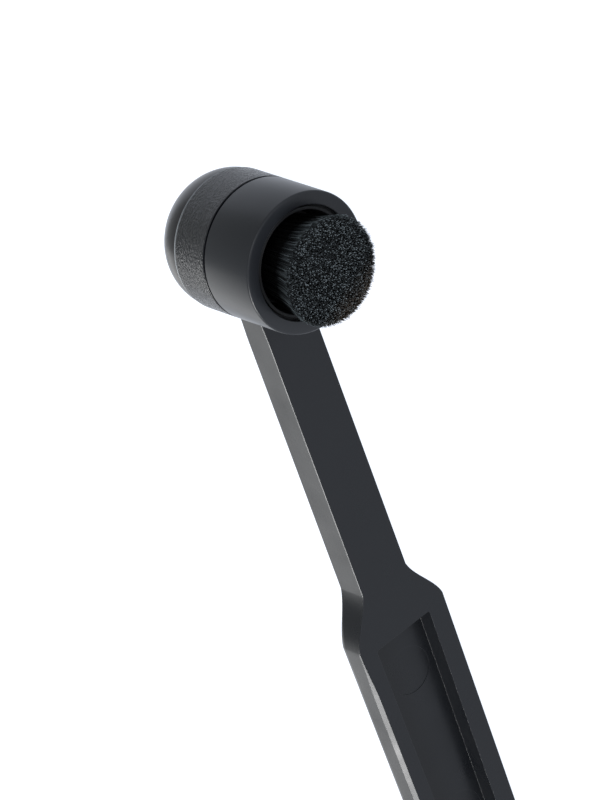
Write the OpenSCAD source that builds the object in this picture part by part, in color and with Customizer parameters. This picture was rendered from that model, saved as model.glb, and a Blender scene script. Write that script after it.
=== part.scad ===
// Lens cleaning pen: a cylindrical head across the end of a flat handle. A round
// brush stands in the front of the head inside a sliding guard. A pull-off dome
// covers the cleaning tip at the back.
//
// Every piece is drawn in the head's own frame: the head's axis is Z, the brush
// points to +Z, z = 0 is the guard's front rim and the arm runs along +X.
// resting() then lays the finished piece on its side, as it lies on a desk.

/* [Head] */
// Radius of the head over the guard and the grained ring
head_r = 10; // [8.3:0.1:13]
// Length of the sliding guard
guard_l = 9.6; // [8:0.1:12]
// Gap between the guard and the head ring
parting_gap = 0.18; // [0.05:0.01:0.3]
// Length of the grained head ring
ring_l = 6.3; // [5.6:0.05:8]
// Small round on the head's outer edges
edge_round = 0.3; // [0.1:0.05:0.5]

/* [Guard mechanism] */
// Wall of the guard
guard_wall = 1.1; // [0.9:0.05:1.4]
// Thickness of the guard's front lip
lip_t = 0.9; // [0.6:0.05:1.2]
// Radial room between the guide tube and the inside of the guard
track = 1.15; // [1:0.05:1.5]
// Radial gap between the guide tube and the guard's mouth
mouth_gap = 0.28; // [0.15:0.01:0.4]
// Wall of the guide tube
tube_wall = 0.5; // [0.4:0.05:0.8]
// How far the tube's front edge stands behind the rim
tube_setback = 0.5; // [0.3:0.05:0.9]
// Thickness of the collar behind the guard
collar_t = 1.8; // [1.4:0.05:2.2]
// Thickness of the stop ring on the tube
stop_t = 0.8; // [0.6:0.05:1]
// Thickness of the wire section of the O-rings
oring_d = 0.6; // [0.5:0.02:0.72]
// How far the guard reaches past the bristle tips when it is slid out
cover = 0.48; // [0.1:0.02:1.5]

/* [Brush] */
// Radial gap between the guide tube and the ferrule
ferrule_gap = 0.75; // [0.3:0.05:1.5]
// Wall of the ferrule
ferrule_wall = 0.6; // [0.4:0.05:0.8]
// How far the ferrule's mouth stands behind the rim
ferrule_setback = 4.5; // [3.5:0.1:5.5]
// How much wider the flat-cut tip is than the bundle's root, on the radius
tuft_spread = 1.63; // [0:0.01:1.96]

/* [Cap and cleaning tip] */
// How far the dome stands in from the head ring's surface
dome_step = 0.15; // [0:0.01:0.3]
// Height of the dome
dome_h = 8.26; // [6.9:0.02:10]
// Wall of the dome
dome_wall = 1.1; // [0.9:0.05:1.3]
// Wall of the dome beside the spigot
socket_wall = 1.45; // [1.2:0.05:1.8]
// Length of the spigot that the cap pushes onto
spigot_l = 2.8; // [2.2:0.05:3.4]
// Wall of the spigot
spigot_wall = 1.0; // [0.8:0.05:1.2]
// Radial gap between the spigot and the pad holder
holder_gap = 1.04; // [0.2:0.02:2]
// Thickness of the cleaning tip
pad_t = 0.9; // [0.7:0.05:1.2]
// Thickness of the foam under the cleaning tip
cushion_t = 1.2; // [0.8:0.05:1.5]
// Gap between the cleaning tip and the sponge in the cap
sponge_gap = 0.25; // [0.05:0.05:0.5]

/* [Arm and grip] */
// Distance from the head's axis to the end of the grip
reach = 118; // [98:0.2:142]
// Thickness of the arm and grip
arm_t = 4.65; // [3.6:0.05:5.6]
// Width of the arm
arm_w = 8.5; // [7:0.1:10.5]
// Distance from the head's axis to where the arm begins to widen
flare_at = 57.1; // [45:0.1:65]
// Length of the widening
flare_l = 6.6; // [5:0.1:12]
// Width of the grip at its shoulders
grip_w = 15.8; // [12:0.1:19]
// Width of the grip near its end
grip_end_w = 14.4; // [12:0.1:19]
// Corner radius of the grip's end
end_round = 5.5; // [3:0.1:5.8]
// Round along the grip's back edges
back_round = 1.9; // [0.6:0.1:2]
// Bevel along the grip's front edges
front_bevel = 0.5; // [0.2:0.05:0.8]
// Crisp edge break along the arm
arm_break = 0.15; // [0.05:0.05:0.3]

/* [Pocket and hang hole] */
// Thickness of the floor under the pocket in the grip's front face
floor_t = 1.5; // [1:0.05:2.4]
// Thickness of the walls beside the pocket
pocket_wall = 2.75; // [2:0.05:3.5]
// Solid length between the shoulder and the pocket
pocket_inset = 1.5; // [1:0.1:4]
// Solid length between the pocket and the hang hole's edge
pocket_end_land = 3.4; // [2:0.1:6]
// Radius of the pocket's corners
pocket_corner = 0.8; // [0.4:0.1:2]
// Radius of the ejector pin marks on the pocket floor
ejector_r = 3.2; // [2:0.1:3.5]
// Distance from the pocket's ends to the ejector pin marks
ejector_inset = 8.2; // [6:0.1:12]
// Radius of the hang hole
hang_r = 2; // [1.5:0.1:2.5]
// Distance from the hang hole's centre to the end of the grip
hang_inset = 5; // [4:0.1:8]

/* [Hidden] */

$fn = 96;
LOOSE = 0.06;     // radial clearance of a sliding fit
SEAT = 0.02;      // radial clearance of a pressed-in piece
WIPE = 0.04;      // radial clearance left under an O-ring's lip
REST_GAP = 0.05;  // gap between faces that stop against each other
OVER = 1;         // how far a cutter runs past the face it opens

// stations along the head's axis, from the rim backwards
ring_front = -guard_l - parting_gap;
ring_back = ring_front - ring_l;
arm_front = ring_front;
arm_back = arm_front - arm_t;
cap_base = ring_back - REST_GAP;
dome_tip = cap_base - dome_h;

// the web inside the head ring and what stands in front of it
flange_t = 2.2;
flange_r = head_r - 1.6;
web_front = ring_front - flange_t - 0.1;
web_t = 1.8;
web_back = web_front - web_t;
tube_floor = 0.6;
ferrule_back = web_front + tube_floor;
ferrule_floor = 2.8;
ferrule_base_t = 1.6;
glue_t = 2;
tuft_root = ferrule_back + ferrule_floor + glue_t;

// the screw and the boss round its head
screw_r = 1;
screw_head_r = 1.9;
screw_head_t = 1.1;
washer_t = 0.3;
boss_r = 3.4;
boss_bore_r = screw_head_r + 0.15;
boss_l = 2;

// guard, collar, stop ring and tube
cavity_r = head_r - guard_wall;
tube_r = cavity_r - track;
tube_bore_r = tube_r - tube_wall;
mouth_r = tube_r + mouth_gap;
stop_front = -lip_t - REST_GAP;
stop_back = stop_front - stop_t;
stop_sink = 0.2;
stop_slot = 1.6;
collar_front = -guard_l + collar_t;
guard_travel = stop_back - collar_front;
detent_z = -guard_l + collar_t / 2;
detent_w = 0.6;
detent_d = 0.12;

// brush
ferrule_r = tube_bore_r - ferrule_gap;
bundle_r = ferrule_r - ferrule_wall;
tip_r = bundle_r + tuft_spread;
tip_ahead = guard_travel - cover;

// spigot, cap, cleaning tip and sponge
dome_r = head_r - dome_step;
crown_r = dome_r - dome_wall;
crown_h = dome_h - dome_wall;
cap_bore_r = dome_r - socket_wall;
cap_bore_l = spigot_l + 0.2;
spigot_r = cap_bore_r - LOOSE;
spigot_bore_r = spigot_r - spigot_wall;
spigot_back = ring_back - spigot_l;
friction_r = cap_bore_r - WIPE - oring_d / 2;
sponge_sink = 1;
sponge_proud = 0.15;
liner_crown = 1.41;
liner_wall = 0.76;
liner_depth = crown_h - liner_crown - sponge_sink;
sponge_r = crown_at(liner_depth + sponge_sink) - liner_wall;
pad_face = cap_base - liner_depth + sponge_proud + sponge_gap;
pad_edge = 0.3;
pad_hollow = 0.5;
holder_r = spigot_bore_r - holder_gap;
holder_face = pad_face + pad_t + cushion_t;
holder_t = 1;
holder_lip = 0.5;
pad_r = holder_r - 0.8;

// grip
hang_x = reach - hang_inset;
shoulder_x = flare_at + flare_l;
pocket_x0 = shoulder_x + pocket_inset;
pocket_x1 = hang_x - hang_r - pocket_end_land;
pocket_floor = arm_back + floor_t;
mark_depth = 0.12;
side_slope = (grip_w - grip_end_w) / 2 / (reach - shoulder_x);
arm_root = head_r / 2;
ring_bite = 0.8;

// ---- helpers ---------------------------------------------------------------

// Lays a piece on its side: the brush faces -Y, the arm runs along -X, and the
// origin is on the desk under the pen's middle.
module resting() {
  translate([(reach - head_r) / 2, (dome_tip + tip_ahead) / 2, max(head_r, grip_w / 2)])
    rotate([-90, 0, 180]) children();
}

module disc(r, low, high) {
  translate([0, 0, low]) cylinder(r = r, h = high - low);
}

module sleeve(r, bore, low, high) {
  difference() {
    disc(r, low, high);
    disc(bore, low - OVER, high + OVER);
  }
}

// Points along an arc about c, turned from one angle to the other.
function arc(c, r, from, to, steps = 5) = [
  for (i = [0 : steps]) let (t = from + (to - from) * i / steps) c + r * [cos(t), sin(t)]
];

// Points of an upright ellipse from angle t0 to its pole, hanging below z.
function crown(a, h, z, t0 = 0, steps = 24) = [
  for (i = [0 : steps]) let (t = t0 + (90 - t0) * i / steps) [a * cos(t), z - h * sin(t)]
];

// The same points in the other order.
function backwards(list) = [for (i = [len(list) - 1 : -1 : 0]) list[i]];

module oring(r, z) {
  translate([0, 0, z]) rotate_extrude() translate([r, 0]) circle(d = oring_d, $fn = 24);
}

// ---- handle: head ring, arm, flare and grip in one moulding ---------------

// The ring, its web with the screw boss, and the cap's spigot, as one turned form.
module head_ring() {
  seat_r = flange_r + SEAT;
  hole_r = screw_r + 0.1;
  front_break = 0.1;
  back_break = 0.15;
  lead = 0.2;
  groove_r = friction_r - oring_d / 2 - 0.01;
  groove_half = oring_d / 2 + 0.05;
  groove_z = ring_back - spigot_l / 2;
  rotate_extrude() polygon(concat(
    [[hole_r, web_front], [seat_r, web_front], [seat_r, ring_front]],
    arc([head_r - front_break, ring_front - front_break], front_break, 90, 0),
    arc([head_r - back_break, ring_back + back_break], back_break, 0, -90),
    [[spigot_r, ring_back],
     [spigot_r, groove_z + groove_half], [groove_r, groove_z + groove_half],
     [groove_r, groove_z - groove_half], [spigot_r, groove_z - groove_half],
     [spigot_r, spigot_back + lead], [spigot_r - lead, spigot_back],
     [spigot_bore_r, spigot_back], [spigot_bore_r, web_back],
     [boss_r, web_back], [boss_r, web_back - boss_l],
     [boss_bore_r, web_back - boss_l], [boss_bore_r, web_back], [hole_r, web_back]]
  ));
}

// How far the flare has opened at x, from 0 on the arm to 1 on the grip.
function ease(t) = t * t * (3 - 2 * t);
function opened(x) =
  let (t = min(1, max(0, (x - flare_at) / flare_l))) 0.5 * t + 0.5 * ease(t);

// How far the rounded end and the faces behind it have drawn in at x.
function drawn(x, r) =
  let (t = min(1, max(0, x - reach + r) / r)) r * (1 - sqrt(1 - t * t));

function half_w(x) =
  arm_w / 2 + (grip_w - arm_w) / 2 * opened(x)
  - side_slope * max(0, x - shoulder_x) - drawn(x, end_round);

// One cross-section of the handle at x: bevelled in front, rounded behind.
ROUND_STEPS = 6;
function section_at(x) =
  let (
    w = half_w(x),
    d = drawn(x, back_round),
    f = arm_front - min(front_bevel, 0.3 * d),
    b = arm_back + 0.6 * d,
    r = arm_break + (back_round - arm_break) * opened(x) - 0.55 * d,
    c = arm_break + (front_bevel - arm_break) * opened(x) - 0.1 * d
  )
  concat(
    [[x, -w + c, f], [x, w - c, f], [x, w, f - c]],
    [for (p = arc([w - r, b + r], r, 0, -90, ROUND_STEPS)) [x, p[0], p[1]]],
    [for (p = arc([-w + r, b + r], r, -90, -180, ROUND_STEPS)) [x, p[0], p[1]]],
    [[x, -w, f - c]]
  );

// Where the sections stand: close together along the flare and round the end.
FLARE_STEPS = 14;
END_STEPS = 12;
function stations() = concat(
  [arm_root, flare_at - 2],
  [for (i = [0 : FLARE_STEPS]) flare_at + flare_l * i / FLARE_STEPS],
  [(shoulder_x + reach) / 2],
  [for (i = [0 : END_STEPS]) reach - end_round * (1 - sin(90 * i / END_STEPS))]
);

module arm_and_grip() {
  xs = stations();
  n = len(section_at(arm_root));
  m = len(xs);
  sides = [
    for (j = [0 : m - 2], i = [0 : n - 1])
      [j * n + i, j * n + (i + 1) % n, (j + 1) * n + (i + 1) % n, (j + 1) * n + i]
  ];
  polyhedron([for (x = xs) each section_at(x)], concat(
    sides,
    [[for (i = [n - 1 : -1 : 0]) i]],
    [[for (i = [0 : n - 1]) (m - 1) * n + i]]
  ));
}

// The pocket, its corners rounded and its sides in line with the grip's own.
module pocket() {
  w0 = grip_w / 2 - pocket_wall;
  w1 = w0 - side_slope * (pocket_x1 - pocket_x0);
  r = pocket_corner;
  translate([0, 0, pocket_floor]) linear_extrude(arm_t) hull() {
    for (side = [-1, 1]) {
      translate([pocket_x0 + r, side * (w0 - r)]) circle(r, $fn = 32);
      translate([pocket_x1 - r, side * (w1 - r)]) circle(r, $fn = 32);
    }
  }
  for (x = [pocket_x0 + ejector_inset, pocket_x1 - ejector_inset])
    translate([x, 0, pocket_floor - mark_depth]) cylinder(r = ejector_r, h = mark_depth + OVER);
}

// The hang hole, eased at both faces.
module hang_hole() {
  ease_r = 0.4;
  translate([hang_x, 0, 0]) {
    disc(hang_r, arm_back - OVER, arm_front + OVER);
    translate([0, 0, arm_front - ease_r]) cylinder(r1 = hang_r, r2 = hang_r + 2 * ease_r, h = 2 * ease_r);
    translate([0, 0, arm_back - ease_r]) cylinder(r1 = hang_r + 2 * ease_r, r2 = hang_r, h = 2 * ease_r);
  }
}

module handle() color([0.09, 0.09, 0.10]) resting() difference() {
  union() {
    head_ring();
    difference() {
      arm_and_grip();
      disc(head_r - ring_bite, arm_back - OVER, arm_front + OVER);
    }
  }
  pocket();
  hang_hole();
}

// ---- brush and what carries it ---------------------------------------------

// The tube has a clamped floor and flange, two detent grooves and the stop ring's seat.
module guide_tube() color([0.20, 0.20, 0.21]) resting() {
  floor_top = web_front + tube_floor;
  flange_top = web_front + flange_t;
  edge = 0.12;
  front = -tube_setback;
  groove_r = tube_r - stop_sink;
  rotate_extrude() polygon(concat(
    [[screw_r + 0.1, web_front], [flange_r, web_front], [flange_r, flange_top]],
    [[tube_r, flange_top]],
    [for (z = [detent_z, detent_z + guard_travel])
      each [[tube_r, z - detent_w / 2], [tube_r - detent_d, z], [tube_r, z + detent_w / 2]]],
    [[tube_r, stop_back], [groove_r, stop_back], [groove_r, stop_front], [tube_r, stop_front]],
    arc([tube_r - edge, front - edge], edge, 0, 90),
    arc([tube_bore_r + edge, front - edge], edge, 90, 180),
    [[tube_bore_r, floor_top], [screw_r + 0.1, floor_top]]
  ));
}

// A snap ring, open at one side so that it springs into its seat.
module stop_ring() color([0.35, 0.35, 0.36]) resting() difference() {
  sleeve(cavity_r - 0.25, tube_r - stop_sink + 0.01, stop_back, stop_front);
  translate([-head_r - OVER, -stop_slot / 2, stop_back - OVER])
    cube([head_r + OVER, stop_slot, stop_t + 2 * OVER]);
}

module brush_ferrule() color([0.16, 0.16, 0.17]) resting() difference() {
  union() {
    disc(tube_bore_r - SEAT, ferrule_back, ferrule_back + ferrule_base_t);
    disc(ferrule_r, ferrule_back, -ferrule_setback);
  }
  disc(bundle_r, ferrule_back + ferrule_floor, OVER);
  disc(screw_r, ferrule_back - OVER, ferrule_back + ferrule_floor + OVER);
}

module tuft_glue() color([0.35, 0.30, 0.18]) resting() disc(bundle_r - SEAT, tuft_root - glue_t, tuft_root);

// The bundle: straight inside the ferrule, then spreading to its flat-cut tip.
module bristle_tuft() color([0.05, 0.05, 0.06]) resting() rotate_extrude() polygon([
  [0, tuft_root], [bundle_r - SEAT, tuft_root], [bundle_r - SEAT, -ferrule_setback],
  [tip_r, tip_ahead], [0, tip_ahead]
]);

module centre_screw() color([0.55, 0.55, 0.57]) resting() {
  head_front = web_back - washer_t;
  slot_t = 0.5;
  difference() {
    union() {
      disc(screw_r - 0.01, head_front - 0.1, ferrule_back + ferrule_floor - 0.3);
      disc(screw_head_r, head_front - screw_head_t, head_front);
    }
    for (turn = [0, 90])
      rotate(turn) translate([-1.2, -slot_t / 2, head_front - screw_head_t - OVER])
        cube([2.4, slot_t, OVER + 0.6]);
  }
}

module screw_washer() color([0.60, 0.60, 0.60]) resting()
  sleeve(screw_head_r + 0.1, screw_r + 0.05, web_back - washer_t, web_back);

// ---- guard -----------------------------------------------------------------

module guard() color([0.07, 0.07, 0.08]) resting() {
  back_break = 0.1;
  mouth_break = 0.15;
  rotate_extrude() polygon(concat(
    arc([head_r - back_break, -guard_l + back_break], back_break, -90, 0),
    arc([head_r - edge_round, -edge_round], edge_round, 0, 90),
    arc([mouth_r + mouth_break, -mouth_break], mouth_break, 90, 180),
    [[mouth_r, -lip_t], [cavity_r, -lip_t], [cavity_r, -guard_l]]
  ));
}

module guard_collar() color([0.12, 0.12, 0.13]) resting() {
  r = cavity_r - SEAT;
  bore = tube_r + LOOSE;
  groove_r = tube_r + WIPE + oring_d + 0.01;
  groove_half = oring_d / 2 + 0.05;
  rotate_extrude() polygon([
    [bore, -guard_l], [r, -guard_l], [r, collar_front], [bore, collar_front],
    [bore, detent_z + groove_half], [groove_r, detent_z + groove_half],
    [groove_r, detent_z - groove_half], [bore, detent_z - groove_half]
  ]);
}

module detent_ring() color([0.15, 0.05, 0.04]) resting() oring(tube_r + WIPE + oring_d / 2, detent_z);

// ---- cleaning tip ----------------------------------------------------------

// A cup that snaps over the boss behind the web; its lip keeps the cushion centred.
module pad_holder() color([0.12, 0.12, 0.13]) resting() {
  skirt_bore = boss_r + SEAT;
  skirt_r = skirt_bore + 1;
  skirt_front = web_back - 0.2;
  front = holder_face + holder_t;
  lip_r = holder_r - 0.5;
  rotate_extrude() polygon([
    [0, front], [skirt_bore, front], [skirt_bore, skirt_front], [skirt_r, skirt_front],
    [skirt_r, front], [holder_r, front], [holder_r, holder_face - holder_lip],
    [lip_r, holder_face - holder_lip], [lip_r, holder_face], [0, holder_face]
  ]);
}

module tip_cushion() color([0.25, 0.25, 0.27]) resting()
  disc(pad_r - 0.1, pad_face + pad_t, holder_face);

// The cleaning face is hollowed to fit a lens.
module tip_pad() color([0.06, 0.06, 0.06]) resting() difference() {
  rim = pad_r - pad_edge - 0.3;
  curve_r = (pow(rim, 2) + pow(pad_hollow, 2)) / (2 * pad_hollow);
  rotate_extrude() polygon(concat(
    [[0, pad_face + pad_t], [pad_r, pad_face + pad_t]],
    arc([pad_r - pad_edge, pad_face + pad_edge], pad_edge, 0, -90),
    [[0, pad_face]]
  ));
  translate([0, 0, pad_face + pad_hollow - curve_r]) sphere(curve_r, $fn = 180);
}

module friction_ring() color([0.10, 0.10, 0.10]) resting() oring(friction_r, ring_back - spigot_l / 2);

// ---- cap -------------------------------------------------------------------

// Angle and radius of the crown's hollow at a depth behind the cap's base.
function crown_angle(depth) = asin(depth / crown_h);
function crown_at(depth) = crown_r * cos(crown_angle(depth));

module dome_cap() color([0.08, 0.08, 0.09]) resting()
  rotate_extrude() polygon(concat(
    [[cap_bore_r, cap_base]],
    crown(dome_r, dome_h, cap_base),
    backwards(crown(crown_r, crown_h, cap_base, crown_angle(cap_bore_l))),
    [[cap_bore_r, cap_base - cap_bore_l]]
  ));

module cap_liner() color([0.14, 0.14, 0.15]) resting() {
  face = cap_base - liner_depth;
  rotate_extrude() polygon(concat(
    [[sponge_r, face]],
    crown(crown_r - SEAT, crown_h - SEAT, cap_base, crown_angle(liner_depth)),
    [[0, face - sponge_sink], [sponge_r, face - sponge_sink]]
  ));
}

module carbon_sponge() color([0.03, 0.03, 0.03]) resting() {
  face = cap_base - liner_depth;
  disc(sponge_r - SEAT, face - sponge_sink, face + sponge_proud);
}

handle();
guide_tube();
stop_ring();
brush_ferrule();
tuft_glue();
bristle_tuft();
centre_screw();
screw_washer();
friction_ring();
pad_holder();
tip_cushion();
tip_pad();
guard();
guard_collar();
detent_ring();
dome_cap();
cap_liner();
carbon_sponge();
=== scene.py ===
# %% [markdown]
# # A lens cleaning pen with a flat-cut brush
# The pen is a short cylindrical head on the end of a flat, flared handle. A sliding guard
# surrounds a dense round brush, and a pull-off dome covers the cleaning tip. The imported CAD
# model is the fixed frame: every piece made here sits where one of its nodes sits, so the
# sizes are read from the nodes and not typed in again.

# %% Load the frame
import math

import bmesh
import bpy
import numpy as np
from mathutils import Matrix, Vector


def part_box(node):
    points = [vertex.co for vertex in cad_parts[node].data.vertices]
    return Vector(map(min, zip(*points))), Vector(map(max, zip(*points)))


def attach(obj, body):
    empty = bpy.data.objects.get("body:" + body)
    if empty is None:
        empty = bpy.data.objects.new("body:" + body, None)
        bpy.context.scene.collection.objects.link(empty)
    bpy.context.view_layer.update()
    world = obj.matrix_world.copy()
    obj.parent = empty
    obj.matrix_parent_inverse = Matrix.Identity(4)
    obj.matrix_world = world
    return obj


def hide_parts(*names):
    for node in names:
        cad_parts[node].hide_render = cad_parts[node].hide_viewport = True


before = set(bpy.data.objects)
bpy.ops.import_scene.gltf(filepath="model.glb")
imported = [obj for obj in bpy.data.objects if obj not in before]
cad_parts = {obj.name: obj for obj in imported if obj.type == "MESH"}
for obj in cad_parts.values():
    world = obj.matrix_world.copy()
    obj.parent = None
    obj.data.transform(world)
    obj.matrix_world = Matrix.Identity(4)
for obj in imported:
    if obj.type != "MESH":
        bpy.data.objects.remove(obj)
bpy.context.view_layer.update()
MM = 0.001
print("nodes:", len(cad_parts))

# %% [markdown]
# Turned pieces are easiest to describe the way a lathe hand would: a radius from the head's
# axis and a distance behind the guard's rim. Two small readers give those numbers for any
# node, so the Blender meshes follow the CAD model if its sizes change.

# %% Measure the head
guard_low, guard_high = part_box("guard")
AXIS_X = (guard_low.x + guard_high.x) / 2
AXIS_Z = (guard_low.z + guard_high.z) / 2
RIM_Y = guard_low.y
RIM = Vector((AXIS_X, RIM_Y, AXIS_Z))


def turned(node):
    """Radius and depth behind the rim of every vertex of a node."""
    points = np.array([v.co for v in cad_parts[node].data.vertices])
    radius = np.hypot(points[:, 0] - AXIS_X, points[:, 2] - AXIS_Z)
    return radius, points[:, 1] - RIM_Y


def radii_at(node, depth, reach=0.06 * MM):
    """Smallest and largest radius of a node's vertices near one depth."""
    radius, behind = turned(node)
    near = radius[np.abs(behind - depth) < reach]
    return near.min(), near.max()


HEAD_R = (guard_high.x - guard_low.x) / 2
GUARD_L = guard_high.y - guard_low.y
MOUTH_R = turned("guard")[0].min()
CAVITY_R = radii_at("guard", GUARD_L)[0]
TUBE_FRONT = turned("guide_tube")[1].min()
TIP_AHEAD = -turned("bristle_tuft")[1].min()
TIP_R = turned("bristle_tuft")[0].max()
FERRULE_FRONT = turned("brush_ferrule")[1].min()
print(f"head radius {HEAD_R / MM:.2f} mm, guard {GUARD_L / MM:.2f} mm, mouth {MOUTH_R / MM:.2f} mm")
print(f"tuft tip {TIP_R / MM:.2f} mm in radius, {TIP_AHEAD / MM:.2f} mm ahead of the rim")

# %% [markdown]
# The camera stands about 0.9 m away with a long lens, so that parallel edges stay nearly
# parallel. It is placed by what it looks at, how far round and how high it stands, and how
# far it is rolled about its own line of sight.

# %% Camera
VIEW_TARGET = RIM + Vector((-23.64, 9.78, 2.58)) * MM
VIEW_AZIMUTH = math.radians(33.46)
VIEW_HEIGHT = math.radians(26.11)
VIEW_ROLL = math.radians(126.57)
VIEW_DISTANCE = 884.6 * MM
LENS = 289.84
SENSOR = 36
CLIP_NEAR, CLIP_FAR = 0.05, 20


def placed(name, data):
    """A new object for a mesh, lamp or camera, linked into the scene."""
    item = bpy.data.objects.new(name, data)
    bpy.context.scene.collection.objects.link(item)
    return item


forward = Vector((
    -math.sin(VIEW_AZIMUTH) * math.cos(VIEW_HEIGHT),
    math.cos(VIEW_AZIMUTH) * math.cos(VIEW_HEIGHT),
    -math.sin(VIEW_HEIGHT),
))
level_up = (Vector((0, 0, 1)) - forward * forward.z).normalized()
camera_up = Matrix.Rotation(VIEW_ROLL, 3, forward) @ level_up
camera_right = forward.cross(camera_up)
turn = Matrix((camera_right, camera_up, -forward)).transposed()

camera_data = bpy.data.cameras.new("product_camera")
camera_data.lens = LENS
camera_data.sensor_width = SENSOR
camera_data.clip_start = CLIP_NEAR
camera_data.clip_end = CLIP_FAR
camera = placed("product_camera", camera_data)
camera.matrix_world = Matrix.Translation(VIEW_TARGET - forward * VIEW_DISTANCE) @ turn.to_4x4()
bpy.context.scene.camera = camera
print("camera at", [round(c, 3) for c in camera.location])

# %% [markdown]
# Glossy black plastic shows nothing of its own: almost everything seen on it is a reflection.
# So the light is a white tent, a pale world with a few large soft lamps, over a light table
# whose floor glows enough to wash out the shadows.

# %% Floor and light
FLOOR_HALF = 2.5
FLOOR_COLOUR = (0.08, 0.08, 0.08, 1)
FLOOR_TINT = (1.0, 1.06, 1.18, 1)
FLOOR_GLOW = 1.0
TENT_TINT = (0.93, 0.97, 1.0, 1)
TENT_STRENGTH = 0.74


def new_material(name):
    """An empty node material with its tree and Principled shader."""
    material = bpy.data.materials.new(name)
    material.use_nodes = True
    tree = material.node_tree
    return material, tree, tree.nodes["Principled BSDF"]


def feed(made, values):
    """Links or sets a node's inputs: each value is a socket or a constant."""
    for key, value in values.items():
        if isinstance(value, bpy.types.NodeSocket):
            made.id_data.links.new(value, made.inputs[key])
        else:
            made.inputs[key].default_value = value


floor_mesh = bpy.data.meshes.new("light_table")
corner_signs = ((-1, -1), (1, -1), (1, 1), (-1, 1))
floor_mesh.from_pydata([(FLOOR_HALF * a, FLOOR_HALF * b, 0) for a, b in corner_signs],
                       [], [(0, 1, 2, 3)])
floor = placed("light_table", floor_mesh)
floor_material, _, floor_shader = new_material("light_table")
feed(floor_shader, {"Base Color": FLOOR_COLOUR, "Roughness": 0.9,
                    "Emission Color": FLOOR_TINT, "Emission Strength": FLOOR_GLOW})
floor_mesh.materials.append(floor_material)

world = bpy.data.worlds.new("white_tent")
world.use_nodes = True
feed(world.node_tree.nodes["Background"], {"Color": TENT_TINT, "Strength": TENT_STRENGTH})
bpy.context.scene.world = world
bpy.context.scene.view_settings.view_transform = "Standard"


def soft_lamp(name, direction, distance, size, power):
    """A square lamp that faces the head from a direction given in the pen's frame."""
    lamp = bpy.data.lights.new(name, "AREA")
    lamp.size = size
    lamp.energy = power
    item = placed(name, lamp)
    away = Vector(direction).normalized()
    item.location = RIM + away * distance
    item.rotation_euler = away.to_track_quat("Z", "Y").to_euler()


soft_lamp("back_box", (-0.50, 0.75, 0.44), 1.2, 0.9, 4.2)
soft_lamp("key_box", (-0.54, -0.43, 0.73), 1.0, 0.40, 20.0)
soft_lamp("front_box", (0.55, -0.62, 0.56), 1.0, 0.45, 3.0)

# %% [markdown]
# ## Finishes
# Two effects turn up in every moulded surface: a fine grain from the spark-eroded mould, and
# edges painted a little paler as a painted highlight. Each is a node group, made once and
# placed in a material with its own numbers. The groups give only values and normals; the
# shader stays in the material.

# %% Group: moulded grain
CLOUD_SCALE = 160.0
GRIT_SHARE = 0.6


def new_group(name, inputs, outputs):
    """A shader node group whose inputs are (name, type, value) and outputs (name, type)."""
    group = bpy.data.node_groups.new(name, "ShaderNodeTree")
    for label, kind, value in inputs:
        socket = group.interface.new_socket(name=label, in_out="INPUT", socket_type=kind)
        if value is not None:
            socket.default_value = value
    for label, kind in outputs:
        group.interface.new_socket(name=label, in_out="OUTPUT", socket_type=kind)
    return group, group.nodes.new("NodeGroupInput").outputs, group.nodes.new("NodeGroupOutput")


def node(tree, kind, values=None, **settings):
    """A node with its properties set first and its inputs fed after them."""
    made = tree.nodes.new(kind)
    for key, value in settings.items():
        setattr(made, key, value)
    feed(made, values or {})
    return made


def maths(tree, operation, *terms, **settings):
    """The result of a math node on sockets or numbers."""
    return node(tree, "ShaderNodeMath", dict(enumerate(terms)), operation=operation,
                **settings).outputs[0]


def vector_maths(tree, operation, *terms, **values):
    """The result of a vector math node: a vector, or the value of a dot product."""
    made = node(tree, "ShaderNodeVectorMath", {**dict(enumerate(terms)), **values},
                operation=operation)
    return made.outputs["Value" if operation == "DOT_PRODUCT" else "Vector"]


def mixed(tree, share, first, second, **settings):
    """The result of a colour mix between two sockets or constants."""
    return node(tree, "ShaderNodeMix", {0: share, 6: first, 7: second}, data_type="RGBA",
                **settings).outputs[2]


def grain_group():
    """Height and roughness variation of a moulded skin: pits, flow clouds and fine grit."""
    group, inp, out = new_group(
        "moulded_grain",
        [("Coordinates", "NodeSocketVector", None), ("Grain Size", "NodeSocketFloat", 4000.0),
         ("Grain Depth", "NodeSocketFloat", 0.5), ("Cloud Amount", "NodeSocketFloat", 0.3)],
        [("Height", "NodeSocketFloat"), ("Cloud", "NodeSocketFloat")])
    grain = {"Vector": inp["Coordinates"], "Scale": inp["Grain Size"]}
    pits = node(group, "ShaderNodeTexVoronoi", {**grain, "Smoothness": 0.6},
                feature="SMOOTH_F1").outputs["Distance"]
    grit = node(group, "ShaderNodeTexNoise",
                {**grain, "Detail": 3.0, "Roughness": 0.6}).outputs["Fac"]
    cloud = node(group, "ShaderNodeTexNoise", {"Vector": inp["Coordinates"], "Detail": 3.0,
                                               "Scale": CLOUD_SCALE}).outputs["Fac"]
    both = maths(group, "MULTIPLY_ADD", grit, GRIT_SHARE, pits)
    feed(out, {"Height": maths(group, "MULTIPLY", both, inp["Grain Depth"]),
               "Cloud": maths(group, "MULTIPLY", maths(group, "SUBTRACT", cloud, 0.5),
                              inp["Cloud Amount"])})
    return group


GRAIN = grain_group()
print("group", GRAIN.name, "made with", len(GRAIN.nodes), "nodes")

# %% [markdown]
# The grain on the head's band is drawn out round the head. A second group unrolls the object's
# coordinates into a length round the axis and a depth along it, and shortens the first, so
# that any pattern read with them turns into streaks that follow the band.

# %% Group: coordinates wrapped round the head
STREAK = 0.42


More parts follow.
